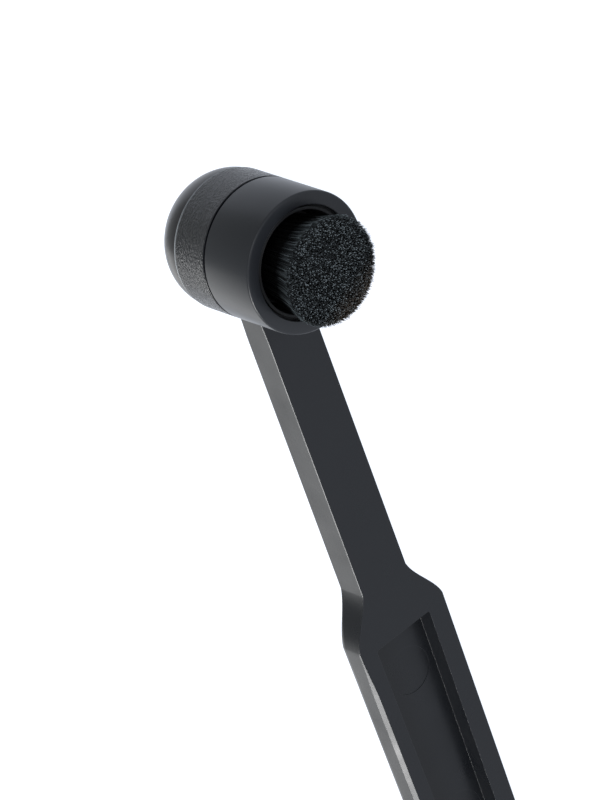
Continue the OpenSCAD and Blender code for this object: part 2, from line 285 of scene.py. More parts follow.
def wrap_group():
    """Object coordinates unrolled round the head's axis and stretched into streaks."""
    group, inp, out = new_group("round_the_head", [("Coordinates", "NodeSocketVector", None)],
                                [("Wrapped", "NodeSocketVector")])
    parts = node(group, "ShaderNodeSeparateXYZ", {0: inp["Coordinates"]}).outputs
    angle = maths(group, "ARCTAN2", maths(group, "SUBTRACT", parts["Z"], AXIS_Z),
                  maths(group, "SUBTRACT", parts["X"], AXIS_X))
    round_by = maths(group, "MULTIPLY", angle, HEAD_R * STREAK)
    joined = node(group, "ShaderNodeCombineXYZ", {"X": round_by, "Y": parts["Y"]})
    feed(out, {"Wrapped": joined.outputs[0]})
    return group


WRAP = wrap_group()
print("group", WRAP.name, "made with", len(WRAP.nodes), "nodes")

# %% [markdown]
# Edges for the painted highlight are found by comparing the true normal with one that the
# Bevel node has rounded off: they differ only near an edge. A noise breaks the result up, so
# that the painted highlight is patchy.

# %% Group: painted edge highlight
OPEN_FACE, FULL_HIGHLIGHT_AT = 0.995, 0.86
PATCH_SCALE = 900.0


def edge_highlight_group():
    """A painted-highlight mask that is 1 on edges and 0 on open faces."""
    group, inp, out = new_group(
        "painted_edge_highlight",
        [("Coordinates", "NodeSocketVector", None), ("Width", "NodeSocketFloat", 0.0002),
         ("Patchiness", "NodeSocketFloat", 0.6)],
        [("Mask", "NodeSocketFloat")])
    eased = node(group, "ShaderNodeBevel", {"Radius": inp["Width"]}, samples=4)
    true = node(group, "ShaderNodeNewGeometry")
    same = vector_maths(group, "DOT_PRODUCT", eased.outputs["Normal"], true.outputs["Normal"])
    ramp = node(group, "ShaderNodeMapRange", {
        "Value": same, "From Min": OPEN_FACE, "From Max": FULL_HIGHLIGHT_AT, "To Min": 0.0,
        "To Max": 1.0})
    patches = node(group, "ShaderNodeTexNoise",
                   {"Vector": inp["Coordinates"], "Scale": PATCH_SCALE, "Detail": 4.0})
    broken = node(group, "ShaderNodeMix", {0: inp["Patchiness"], 2: 1.0,
                                           3: patches.outputs["Fac"]}, data_type="FLOAT")
    feed(out, {"Mask": maths(group, "MULTIPLY", ramp.outputs["Result"], broken.outputs[0])})
    return group


EDGE_HIGHLIGHT = edge_highlight_group()
print("group", EDGE_HIGHLIGHT.name, "made with", len(EDGE_HIGHLIGHT.nodes), "nodes")

# %% [markdown]
# One recipe covers every moulded plastic here. The colour is nearly black; the grain bumps
# the normal, clouds of uneven polish shift the roughness, and a painted highlight makes edges
# a little paler. Only the numbers differ between the satin handle, the smoother guard and the cap.

# %% Material: moulded plastic
PLASTIC_IOR = 1.49
HIGHLIGHT_GAIN, HIGHLIGHT_LIFT = 3, 0.03


def moulded(name, colour, roughness, grain_size, grain_depth, cloud=0.2, edge=0.25, shine=0.30,
            bump_strength=0.25, bump_distance=0.00004, wrapped=False):
    """A moulded plastic with grain, uneven polish and a painted highlight on its edges.

    Wrapped grain runs round the head's axis.
    """
    material, tree, shader = new_material(name)
    at = grain_at = node(tree, "ShaderNodeTexCoord").outputs["Object"]
    if wrapped:
        grain_at = node(tree, "ShaderNodeGroup", {"Coordinates": at},
                        node_tree=WRAP).outputs["Wrapped"]
    grain = node(tree, "ShaderNodeGroup", {
        "Coordinates": grain_at, "Grain Size": grain_size, "Grain Depth": grain_depth,
        "Cloud Amount": cloud}, node_tree=GRAIN)
    bump = node(tree, "ShaderNodeBump", {
        "Strength": bump_strength, "Distance": bump_distance, "Height": grain.outputs["Height"]})
    edges = node(tree, "ShaderNodeGroup", {"Coordinates": at}, node_tree=EDGE_HIGHLIGHT)
    # Edges are mixed towards a paler colour, scaled by edge: a painted highlight along the edges.
    highlight_share = maths(tree, "MULTIPLY", edges.outputs["Mask"], edge)
    highlight_colour = [min(1.0, c * HIGHLIGHT_GAIN + HIGHLIGHT_LIFT) for c in colour]
    feed(shader, {
        "Base Color": mixed(tree, highlight_share, (*colour, 1), (*highlight_colour, 1)),
        "Roughness": maths(tree, "ADD", grain.outputs["Cloud"], roughness, use_clamp=True),
        "Normal": bump.outputs["Normal"], "IOR": PLASTIC_IOR, "Specular IOR Level": shine})
    return material


BLACK = (0.0022, 0.0028, 0.0040)
satin_handle = moulded("satin_handle", BLACK, 0.32, 5200, 0.45, cloud=0.30, shine=0.215)
grained_band = moulded("grained_band", BLACK, 0.28, 6200, 1.0, cloud=0.15, shine=0.36,
                       bump_strength=1.0, bump_distance=0.00018, wrapped=True)
smooth_guard = moulded("smooth_guard", (0.0075, 0.0085, 0.0105), 0.34, 6500, 0.20, cloud=0.10,
                       shine=0.22, bump_strength=0.12)
smooth_cap = moulded("smooth_cap", (0.0035, 0.0032, 0.0038), 0.30, 6500, 0.25, cloud=0.12,
                     shine=0.32, bump_strength=0.15)
# A pale grey that paints a highlight line on the dome's base edge.
painted_lip_highlight = moulded("painted_lip_highlight", (0.13, 0.14, 0.15), 0.45, 5200, 0.5, cloud=0.2, shine=0.3)
inner_plastic = moulded("inner_plastic", (0.012, 0.012, 0.013), 0.42, 4200, 0.5, cloud=0.2)
seal_rubber = moulded("seal_rubber", (0.006, 0.006, 0.006), 0.5, 5200, 0.3, cloud=0.2, edge=0.1)
print("plastics ready")

# %% [markdown]
# The guide tube, ferrule, ring, screw and washer are metal. Turned metal carries fine rings
# around its axis, so a wave texture set on the distance from the head's axis bumps it.

# %% Material: turned metal
RING_SCALE = 900.0
POLISH_SWING = 0.08
HOLLOW_TONE = 0.8


def turned_metal(name, colour, roughness, metallic=1.0):
    """Metal with fine turning rings and a cloudy polish."""
    material, tree, shader = new_material(name)
    at = node(tree, "ShaderNodeTexCoord").outputs["Object"]
    centred = node(tree, "ShaderNodeMapping",
                   {"Vector": at, "Location": (-AXIS_X, -RIM_Y, -AXIS_Z)})
    rings = node(tree, "ShaderNodeTexWave", {
        "Vector": centred.outputs["Vector"], "Scale": RING_SCALE, "Distortion": 0.6,
        "Detail": 2.0}, wave_type="RINGS", rings_direction="Y")
    bump = node(tree, "ShaderNodeBump",
                {"Strength": 0.15, "Distance": 0.00002, "Height": rings.outputs["Fac"]})
    cloud = node(tree, "ShaderNodeTexNoise",
                 {"Vector": at, "Scale": 500.0, "Detail": 3.0}).outputs["Fac"]
    rough = node(tree, "ShaderNodeMapRange", {
        "Value": cloud, "To Min": roughness - POLISH_SWING, "To Max": roughness + POLISH_SWING})
    dull = [c * HOLLOW_TONE for c in colour]
    feed(shader, {
        "Base Color": mixed(tree, cloud, (*dull, 1), (*colour, 1)),
        "Roughness": rough.outputs["Result"], "Normal": bump.outputs["Normal"],
        "Metallic": metallic, "Specular IOR Level": 0.5 * metallic ** 0.5})
    return material


black_anodised = turned_metal("black_anodised", (0.008, 0.0085, 0.0095), 0.62, metallic=0.15)
bright_steel = turned_metal("bright_steel", (0.52, 0.52, 0.54), 0.30)
print("metals ready")

# %% [markdown]
# Foam, suede and cured glue are the soft or cloudy finishes inside. Foam and suede are the
# same recipe: a cell or nap texture bumps the surface, and painted shade darkens its hollows.

# %% Material: foam, suede and glue


def napped(name, dark, light, size, depth, sheen):
    """A soft surface whose cells or nap bump it, with painted shade darkening the hollows."""
    material, tree, shader = new_material(name)
    at = node(tree, "ShaderNodeTexCoord").outputs["Object"]
    cells = node(tree, "ShaderNodeTexVoronoi", {"Vector": at, "Scale": size})
    nap = node(tree, "ShaderNodeTexNoise",
               {"Vector": at, "Scale": size * 0.6, "Detail": 5.0, "Roughness": 0.7})
    height = maths(tree, "MULTIPLY", cells.outputs["Distance"], nap.outputs["Fac"])
    bump = node(tree, "ShaderNodeBump", {"Strength": 0.8, "Distance": depth, "Height": height})
    # The colour follows the texture's height: the hollows are painted darker as painted shade.
    feed(shader, {
        "Base Color": mixed(tree, height, (*dark, 1), (*light, 1)),
        "Roughness": 0.9, "Normal": bump.outputs["Normal"], "Sheen Weight": sheen})
    return material


foam = napped("fine_foam", (0.010, 0.010, 0.011), (0.05, 0.05, 0.055), 5200, 0.0001, 0.0)
carbon_suede = napped("carbon_suede", (0.004, 0.004, 0.004), (0.02, 0.02, 0.021), 9000,
                      0.00005, 0.3)
resin = moulded("cured_resin", (0.16, 0.12, 0.06), 0.18, 1500, 0.6, cloud=0.1, edge=0.0)
print("soft finishes ready")

# %% [markdown]
# ## Turned pieces
# The guard, the dome and the inner rings are bodies of revolution. A profile is a list of
# corners, each with its own small radius; rounding the corners first and then spinning the
# result gives clean quads, real highlights on every rim, and a closed shell.

# %% Helper: rounded profile
CORNER_STEPS = 5


def rounded(corners):
    """A closed outline through (radius, depth, fillet) corners, with arcs for the fillets."""
    outline = []
    count = len(corners)
    for i, (r, s, fillet) in enumerate(corners):
        here = Vector((r, s))
        if fillet <= 0:
            outline.append(here)
            continue
        before = (Vector(corners[i - 1][:2]) - here).normalized()
        after = (Vector(corners[(i + 1) % count][:2]) - here).normalized()
        half = math.acos(max(-1, min(1, before.dot(after)))) / 2
        centre = here + (before + after).normalized() * (fillet / math.sin(half))
        start = here + before * (fillet / math.tan(half)) - centre
        end = here + after * (fillet / math.tan(half)) - centre
        sweep = math.pi - 2 * half
        for k in range(CORNER_STEPS + 1):
            part = sweep * k / CORNER_STEPS
            blend = start * math.sin(sweep - part) + end * math.sin(part)
            outline.append(centre + blend / math.sin(sweep))
    return outline


# %% [markdown]
# The lathe turns an outline into a mesh, with single points where it meets the axis. Every
# finished mesh then goes through the same steps: doubled points are merged, faces are turned
# outward, and the piece is tied to its body while the node it stands for is hidden.

# %% Helper: lathe and finish
AXIS_SEGMENTS = 180
SMALL_SEGMENTS = 96
ON_AXIS = 1e-7
MERGE = 0.5e-6


def lathe(outline, segments=AXIS_SEGMENTS, centre=(AXIS_X, AXIS_Z)):
    """Spins a closed outline of (radius, depth) points round the head's axis or a parallel one."""
    points, rings = [], []
    for r, s in outline:
        first = len(points)
        if r < ON_AXIS:
            points.append((centre[0], RIM_Y + s, centre[1]))
            rings.append([first] * segments)
            continue
        for k in range(segments):
            turned_by = 2 * math.pi * k / segments
            points.append((centre[0] + r * math.cos(turned_by), RIM_Y + s,
                           centre[1] + r * math.sin(turned_by)))
        rings.append(list(range(first, first + segments)))
    faces = []
    for i, ring in enumerate(rings):
        following = rings[(i + 1) % len(rings)]
        for k in range(segments):
            j = (k + 1) % segments
            corners = []
            for v in (ring[k], ring[j], following[j], following[k]):
                if v not in corners:
                    corners.append(v)
            if len(corners) > 2:
                faces.append(corners)
    mesh = bpy.data.meshes.new("turned")
    mesh.from_pydata(points, [], faces)
    return mesh


def clean(mesh):
    """Merges doubled points and turns every face outward."""
    build = bmesh.new()
    build.from_mesh(mesh)
    bmesh.ops.remove_doubles(build, verts=build.verts, dist=MERGE)
    bmesh.ops.recalc_face_normals(build, faces=build.faces)
    build.to_mesh(mesh)
    build.free()


def smooth(mesh, sharp):
    """Smooth shading that breaks at edges sharper than an angle in degrees."""
    mesh.shade_smooth()
    mesh.set_sharp_from_angle(angle=math.radians(sharp))


def tie(piece, body, slot, *replaced):
    """Ties a piece to its body and hides the CAD nodes it stands for; slot is not used."""
    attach(piece, body)
    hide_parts(*replaced)


def finish_mesh(name, mesh, material, body, slot, replaced, sharp=35):
    """Turns a lathe mesh into a finished piece."""
    clean(mesh)
    smooth(mesh, sharp)
    mesh.materials.append(material)
    piece = placed(name, mesh)
    tie(piece, body, slot, replaced)
    print(f"{name}: {len(mesh.polygons)} faces on {body}")
    return piece


# %% [markdown]
# The guard is the smooth barrel round the brush. Its rim has a fine polished edge, the mouth
# is eased so that it never catches a bristle, and a small step behind it draws the dark
# parting line against the head.

# %% Guard
LIP_BACK = turned("stop_ring")[1].min() - 0.05 * MM
REAR_STEP = 0.20 * MM
guard_outline = rounded([
    (HEAD_R, 0, 0.3 * MM), (HEAD_R, GUARD_L - REAR_STEP, 0.10 * MM),
    (CAVITY_R, GUARD_L, 0.05 * MM), (CAVITY_R, LIP_BACK, 0.1 * MM),
    (MOUTH_R, LIP_BACK, 0.1 * MM), (MOUTH_R, 0, 0.16 * MM)])
finish_mesh("guard_barrel", lathe(guard_outline), smooth_guard, "guard_body", "guard_plastic",
            "guard")

# %% [markdown]
# Inside the guard stands the thin tube that it slides on. The tube ends in a flange that
# seats in the head, and its floor has a hole for the centre screw.

# %% Guide tube
flange_r = turned("guide_tube")[0].max()
tube_back = turned("guide_tube")[1].max()
tube_out = radii_at("guide_tube", TUBE_FRONT + 0.15 * MM, 0.08 * MM)[1]
TUBE_WALL = 0.5 * MM
FLANGE_T = 2.2 * MM
TUBE_FLOOR = 0.6 * MM
TUBE_EASE = 0.1 * MM
TUBE_RIM = 0.12 * MM
SCREW_HOLE_R = turned("guide_tube")[0].min()
tube_outline = rounded([
    (SCREW_HOLE_R, tube_back, 0), (flange_r, tube_back, TUBE_EASE),
    (flange_r, tube_back - FLANGE_T, TUBE_EASE), (tube_out, tube_back - FLANGE_T, TUBE_EASE),
    (tube_out, TUBE_FRONT, TUBE_RIM), (tube_out - TUBE_WALL, TUBE_FRONT, TUBE_RIM),
    (tube_out - TUBE_WALL, tube_back - TUBE_FLOOR, TUBE_EASE),
    (SCREW_HOLE_R, tube_back - TUBE_FLOOR, 0)])
finish_mesh("guide_sleeve", lathe(tube_outline), black_anodised, "handle_body", "tube_metal",
            "guide_tube")

# %% [markdown]
# The dome is half of a flattened ellipsoid: its curve starts square to the head and closes
# over the cleaning tip. The wall is kept even by drawing the hollow as a second ellipse, and
# the straight socket is what grips the head's spigot. The edge of its base is painted pale
# grey as a painted highlight, a fine bright line beside the head.

# %% Dome cap
dome_radius, dome_depth = turned("dome_cap")
DOME_R = dome_radius.max()
CAP_BASE = dome_depth.min()
DOME_H = dome_depth.max() - CAP_BASE
DOME_WALL = 1.1 * MM
SOCKET_R = radii_at("dome_cap", CAP_BASE)[0]
SOCKET_L = 3.0 * MM
DOME_STEPS = 44
BASE_EDGE = 0.26 * MM


def ellipse(radius, height, start):
    """Points from an angle up to the pole of an ellipse standing on the cap's base."""
    points = []
    for k in range(DOME_STEPS + 1):
        t = start + (math.pi / 2 - start) * k / DOME_STEPS
        points.append(Vector((radius * math.cos(t), CAP_BASE + height * math.sin(t))))
    points[-1].x = 0
    return points


hollow_h = DOME_H - DOME_WALL
outer = ellipse(DOME_R, DOME_H, math.asin(0.7 * BASE_EDGE / DOME_H))
hollow = ellipse(DOME_R - DOME_WALL, hollow_h, math.asin(SOCKET_L / hollow_h))
dome_outline = (
    [Vector((DOME_R - BASE_EDGE, CAP_BASE))]
    + outer + hollow[::-1]
    + [Vector((SOCKET_R, CAP_BASE + SOCKET_L)), Vector((SOCKET_R, CAP_BASE + BASE_EDGE)),
       Vector((SOCKET_R + BASE_EDGE, CAP_BASE))])
dome = finish_mesh("dome", lathe(dome_outline), smooth_cap, "cap_body", "cap_plastic",
                   "dome_cap")
# Faces round the base edge take the pale grey: a painted highlight beside the head.
dome.data.materials.append(painted_lip_highlight)
for polygon in dome.data.polygons:
    centre = polygon.center
    from_axis = math.hypot(centre.x - AXIS_X, centre.z - AXIS_Z)
    if centre.y - RIM_Y < CAP_BASE + BASE_EDGE and from_axis > DOME_R - BASE_EDGE:
        polygon.material_index = 1

# %% [markdown]
# ## The handle
# The arm, the flare and the pocketed grip are one moulding with the grained head ring. The
# arm and grip are lofted: a cross-section is drawn at each station along the arm and the
# sections are skinned. Each has a fine break on its front edges and a round behind. Along one
# edge of the grip the break grows into a broad facet, and that facet is what glints there.

# %% Measure the handle
handle_points = np.array([v.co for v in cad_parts["handle"].data.vertices])
reach_of = AXIS_X - handle_points[:, 0]
REACH = reach_of.max()


def arm_span(near, far):
    """The low and high corner of the handle's vertices between two distances down the arm."""
    inside = handle_points[(reach_of > near) & (reach_of < far)]
    return Vector(inside.min(axis=0)), Vector(inside.max(axis=0))


arm_low, arm_high = arm_span(20 * MM, 57.2 * MM)
grip_low, grip_high = arm_span(60 * MM, 66 * MM)
ARM_HALF = (arm_high.z - arm_low.z) / 2
GRIP_HALF = (grip_high.z - grip_low.z) / 2
ARM_FRONT, ARM_BACK = arm_low.y, arm_high.y
print(f"arm {2e3 * ARM_HALF:.1f} mm wide, grip {2e3 * GRIP_HALF:.1f} mm, reach {1e3 * REACH:.0f} mm")

# %% Cross-sections
FULLER = 0.15 * MM
FULLER_OVER = 4 * MM
FLARE_FROM = 56.2 * MM
FLARE_LENGTH = 7.8 * MM
FLARE_SOFTNESS = 0.55
SHOULDER = FLARE_FROM + FLARE_LENGTH
GRIP_TAPER = 0.0129
GRIP_EXTRA = {1: 0.12 * MM, -1: 0.42 * MM}
END_ROUND = 5.5 * MM
BACK_ROUND = 1.9 * MM
ARM_BACK_ROUND = 0.15 * MM
ARM_CHAMFER = 0.07 * MM
GRIP_CHAMFER = 0.52 * MM
CHAMFER_FADE = 9.0 * MM
FRONT_DRAW, BACK_DRAW, ROUND_DRAW = 0.3, 0.6, 0.55
BACK_STEPS = 7


def smooth_step(t):
    """A ramp from 0 to 1 with a soft start and end."""
    t = min(1.0, max(0.0, t))
    return t * t * (3 - 2 * t)


def flare(x):
    """0 on the arm, 1 on the grip, with a soft start and a firmer end."""
    t = min(1.0, max(0.0, (x - FLARE_FROM) / FLARE_LENGTH))
    return (1 - FLARE_SOFTNESS) * t + FLARE_SOFTNESS * smooth_step(t)


def drawn_in(x, radius):
    """How far the rounded end has drawn in at a distance down the arm."""
    t = min(1.0, max(0.0, (x - REACH + radius) / radius))
    return radius * (1 - math.sqrt(1 - t * t))


def half_width(x, side):
    """Half the arm's or grip's width at a distance down the arm, on one side."""
    taper = GRIP_TAPER * max(0.0, x - SHOULDER)
    full = GRIP_HALF + GRIP_EXTRA[side] - ARM_HALF
    return ARM_HALF + full * flare(x) - taper - drawn_in(x, END_ROUND)


def cross_section(x):
    """One closed section of the arm or grip, from the front face round to the back."""
    fuller = FULLER * smooth_step((x - HEAD_R) / FULLER_OVER)
    back_draw = drawn_in(x, BACK_ROUND)
    front = ARM_FRONT - fuller + FRONT_DRAW * back_draw
    back = ARM_BACK + fuller - BACK_DRAW * back_draw
    faded_in = smooth_step((x - SHOULDER) / CHAMFER_FADE)
    chamfers = {1: ARM_CHAMFER + (GRIP_CHAMFER - ARM_CHAMFER) * faded_in, -1: ARM_CHAMFER}
    curl = (ARM_BACK_ROUND + (BACK_ROUND - ARM_BACK_ROUND) * flare(x)
            - ROUND_DRAW * back_draw)
    points = []
    for side in (1, -1):
        w = half_width(x, side)
        chamfer = chamfers[side]
        half = [(w - chamfer, front), (w, front + chamfer)]
        for k in range(BACK_STEPS + 1):
            t = math.pi / 2 * k / BACK_STEPS
            half.append((w - curl + curl * math.cos(t), back - curl + curl * math.sin(t)))
        if side < 0:
            half.reverse()
        points += [Vector((AXIS_X - x, y, AXIS_Z + side * z)) for z, y in half]
    return points


# %% [markdown]
# The stations stand close together where the outline bends, through the flare, the fading
# facet and the rounded end, and far apart where the arm runs straight.

# %% Loft the arm and grip
ROOT = 8.95 * MM
MID_ARM = 35 * MM
ROOT_STATIONS, FLARE_STATIONS, FADE_STATIONS, END_STATIONS = 5, 28, 12, 16
LAST_STATION = 0.002 * MM


def skin(loops):
    """A closed mesh through loops of equal length, with its two ends capped."""
    count = len(loops[0])
    faces = [[a * count + k, a * count + (k + 1) % count, (a + 1) * count + (k + 1) % count,
              (a + 1) * count + k] for a in range(len(loops) - 1) for k in range(count)]
    faces.append(list(range(count)))
    faces.append([(len(loops) - 1) * count + k for k in range(count)])
    mesh = bpy.data.meshes.new("skinned")
    mesh.from_pydata([point for loop in loops for point in loop], [], faces)
    return mesh


stations = [ROOT] + [HEAD_R + FULLER_OVER * k / ROOT_STATIONS for k in range(ROOT_STATIONS + 1)]
stations += [MID_ARM]
stations += [FLARE_FROM + FLARE_LENGTH * k / FLARE_STATIONS for k in range(FLARE_STATIONS + 1)]
stations += [SHOULDER + CHAMFER_FADE * k / FADE_STATIONS for k in range(1, FADE_STATIONS + 1)]
stations += [REACH - END_ROUND * (1 - math.sin(math.pi / 2 * k / END_STATIONS))
             for k in range(END_STATIONS)] + [REACH - LAST_STATION]
arm_mesh = skin([cross_section(x) for x in stations])
print("arm and grip lofted through", len(stations), "sections")

# %% [markdown]
# The pocket is cut with a shaped tool and a Boolean. Rounding the tool, and not the finished
# moulding, puts the eased lip and the fillet round the floor exactly where they belong. Two
# shallow discs are the marks left by ejector pins.

# %% Pocket tool
POCKET_FROM = 65.2 * MM
POCKET_TO = 107.6 * MM
POCKET_HALF = 5.15 * MM
POCKET_CORNER = 0.35 * MM
POCKET_DEPTH = 2.9 * MM
LIP_EASE = 0.015 * MM
FLOOR_FILLET = 0.03 * MM
LOOP_STEPS, EASE_STEPS = 6, 5
CLEAR = 1 * MM
FRONT_FACE = ARM_FRONT - FULLER
POCKET_FLOOR = FRONT_FACE + POCKET_DEPTH


def pocket_loop(grow, y):
    """The pocket's rounded outline, grown by an amount, at one height."""
    taper = GRIP_TAPER * (POCKET_TO - POCKET_FROM)
    near, far = POCKET_FROM + POCKET_CORNER, POCKET_TO - POCKET_CORNER
    r = POCKET_CORNER + grow
    loop = []
    for quarter, (x, w) in enumerate(((near, POCKET_HALF), (far, POCKET_HALF - taper),
                                      (far, -POCKET_HALF + taper), (near, -POCKET_HALF))):
        z = w - math.copysign(POCKET_CORNER, w)
        for k in range(LOOP_STEPS + 1):
            t = math.pi / 2 * (quarter + k / LOOP_STEPS)
            loop.append(Vector((AXIS_X - x + r * math.cos(t), y, AXIS_Z + z + r * math.sin(t))))
    return loop


leans = [math.pi / 2 * k / EASE_STEPS for k in range(EASE_STEPS + 1)]
pocket_loops = [pocket_loop(LIP_EASE, FRONT_FACE - CLEAR)]
pocket_loops += [pocket_loop(LIP_EASE * (1 - math.sin(t)),
                             FRONT_FACE + LIP_EASE * (1 - math.cos(t))) for t in leans]
pocket_loops += [pocket_loop(-FLOOR_FILLET * (1 - math.cos(t)),
                             POCKET_FLOOR - FLOOR_FILLET * (1 - math.sin(t))) for t in leans]
tools = [skin(pocket_loops)]
print("pocket tool skinned through", len(pocket_loops), "loops")

# %% Ejector and hang-hole tools
EJECTOR_R = 3.6 * MM
EJECTOR_INSET = 8.2 * MM
EJECTOR_OFF = 0.45 * MM
EJECTOR_SUNK = 0.07 * MM
EJECTOR_BREAK = 0.01 * MM
HANG_INSET = 5.0 * MM
HANG_R = 2.0 * MM
HANG_EASE = 0.4 * MM


def tool(outline, x, z):
    """A turned cutting tool that stands across the handle."""
    return lathe([Vector(point) for point in outline], SMALL_SEGMENTS, (x, z))


floor_depth = POCKET_FLOOR - RIM_Y
for x in (POCKET_FROM + EJECTOR_INSET, POCKET_TO - EJECTOR_INSET):
    tools.append(tool([
        (0, floor_depth - CLEAR / 2), (EJECTOR_R, floor_depth - CLEAR / 2),
        (EJECTOR_R, floor_depth - EJECTOR_BREAK), (EJECTOR_R, floor_depth + EJECTOR_SUNK),
        (0, floor_depth + EJECTOR_SUNK)], AXIS_X - x, AXIS_Z - EJECTOR_OFF))
hole_front, hole_back = FRONT_FACE - RIM_Y, ARM_BACK + FULLER - RIM_Y
hole_mouth = HANG_R + HANG_EASE + CLEAR
tools.append(tool([
    (0, hole_front - CLEAR), (hole_mouth, hole_front - CLEAR), (HANG_R, hole_front + HANG_EASE),
    (HANG_R, hole_back - HANG_EASE), (hole_mouth, hole_back + CLEAR), (0, hole_back + CLEAR)],
    AXIS_X - REACH + HANG_INSET, AXIS_Z))
print(len(tools), "cutting tools")

# %% [markdown]
# The head ring is turned like the guard, and its outer band takes the wrapped grain. Behind
# it stand the web with its screw boss and the spigot that the cap is pushed over, with a
# groove for the friction ring.

# %% Head ring
ring_front = ARM_FRONT - RIM_Y
ring_back = CAP_BASE - 0.05 * MM
SEAT_R = flange_r + 0.02 * MM
WEB_HOLE_R = 1.1 * MM
WEB_FRONT = tube_back + 0.1 * MM
WEB_BACK = WEB_FRONT + 1.8 * MM
SPIGOT_R = SOCKET_R - 0.06 * MM
SPIGOT_BORE = SPIGOT_R - 1.0 * MM
SPIGOT_BACK = ring_back + 2.8 * MM
GROOVE_MID = ring_back + 1.4 * MM
GROOVE_HALF = 0.35 * MM
GROOVE_R = SPIGOT_R - 0.59 * MM
BOSS_R, BOSS_BORE = 3.4 * MM, 2.05 * MM
BOSS_BACK = WEB_BACK + 2 * MM
BAND_SKIN = 0.01 * MM
ring_outline = rounded([
    (WEB_HOLE_R, WEB_FRONT, 0), (SEAT_R, WEB_FRONT, 0), (SEAT_R, ring_front, 0.05 * MM),
    (HEAD_R, ring_front, 0.15 * MM), (HEAD_R, ring_back, 0.28 * MM),
    (SPIGOT_R, ring_back, 0), (SPIGOT_R, GROOVE_MID - GROOVE_HALF, 0),
    (GROOVE_R, GROOVE_MID - GROOVE_HALF, 0), (GROOVE_R, GROOVE_MID + GROOVE_HALF, 0),
    (SPIGOT_R, GROOVE_MID + GROOVE_HALF, 0), (SPIGOT_R, SPIGOT_BACK, 0.2 * MM),
    (SPIGOT_BORE, SPIGOT_BACK, 0.1 * MM), (SPIGOT_BORE, WEB_BACK, 0),
    (BOSS_R, WEB_BACK, 0), (BOSS_R, BOSS_BACK, 0.1 * MM), (BOSS_BORE, BOSS_BACK, 0.1 * MM),
    (BOSS_BORE, WEB_BACK, 0), (WEB_HOLE_R, WEB_BACK, 0)])
ring_mesh = lathe(ring_outline)
for blank in (arm_mesh, ring_mesh):
    blank.materials.append(satin_handle)
    blank.materials.append(grained_band)
for polygon in ring_mesh.polygons:
    centre = polygon.center
    off_band = HEAD_R - math.hypot(centre.x - AXIS_X, centre.z - AXIS_Z)
    polygon.material_index = 1 if off_band < BAND_SKIN else 0
print("head ring turned from", len(ring_outline), "points")

# %% [markdown]
# One Boolean joins the ring to the arm and the others cut it. Weighted normals then keep the
# flat faces flat right up to their eased edges.

# %% Join and cut the moulding
HANDLE_SHARP = 28


def baked(holder, *helpers):
    """The mesh that an object's modifiers make; the object and its helpers are removed."""
    graph = bpy.context.evaluated_depsgraph_get()
    mesh = bpy.data.meshes.new_from_object(holder.evaluated_get(graph))
    for item in (holder, *helpers):
        bpy.data.objects.remove(item)
    return mesh


def carved(base, joined, cuts):
    """One mesh from a base, the shapes joined to it and the tools that cut it."""
    clean(base)
    blank = placed("handle_blank", base)
    helpers = []
    for mode, meshes in (("UNION", joined), ("DIFFERENCE", cuts)):
        for mesh in meshes:
            clean(mesh)
            helpers.append(placed("helper", mesh))
            change = blank.modifiers.new(mode.lower(), "BOOLEAN")
            change.operation = mode
            change.solver = "EXACT"
            change.object = helpers[-1]
    return baked(blank, *helpers)


handle_mesh = carved(arm_mesh, [ring_mesh], tools)
smooth(handle_mesh, HANDLE_SHARP)
holder = placed("holder", handle_mesh)
holder.modifiers.new("even_normals", "WEIGHTED_NORMAL").keep_sharp = True
handle_mesh = baked(holder)
handle = placed("handle_moulding", handle_mesh)
tie(handle, "handle_body", "handle_plastic", "handle")
print("handle_moulding:", len(handle_mesh.polygons), "faces")

# %% [markdown]
# ## The brush
# Thousands of filaments are the natural job for Geometry Nodes. Points are laid over the
# flat-cut tip, each a golden turn on from the last, which spreads them evenly; a little
# scatter hides the pattern. Each filament runs back from its point towards one common centre
# deep in the handle, which gives the tuft its slight flare. Random lean, a little wave and
# uneven lengths stop it from looking combed. The same tree makes the short filaments that
# fill the middle, the long ones that show on the flank, and the few stray hairs.

# %% Geometry Nodes: filament tuft
CLUMP_SCALE = 2100.0
WAVE_SCALE = 1.6
GOLDEN_TURN = 0.61803399
STRAND_SPREAD = 500.0
TAPER_SHARE = 0.1
INPUTS = (
    ("Int", {"Strands": 100, "Points Along": 4, "Sides": 4, "Seed": 1}),
    ("Float", {"Inner Radius": 0.0, "Outer Radius": 0.0075, "Start Angle": 0.0,
               "End Angle": 6.2832, "Length": 0.004, "Fan Distance": 0.046,
               "Thickness": 0.00008, "Lean": 0.03, "Wave": 0.0001, "Uneven Tips": 0.0002,
               "Clump": 0.0001, "Scatter": 0.00005, "Lit Length": 0.0002, "Splay": 0.0,
               "Splay Reach": 0.003, "Tip Width": 0.6}))


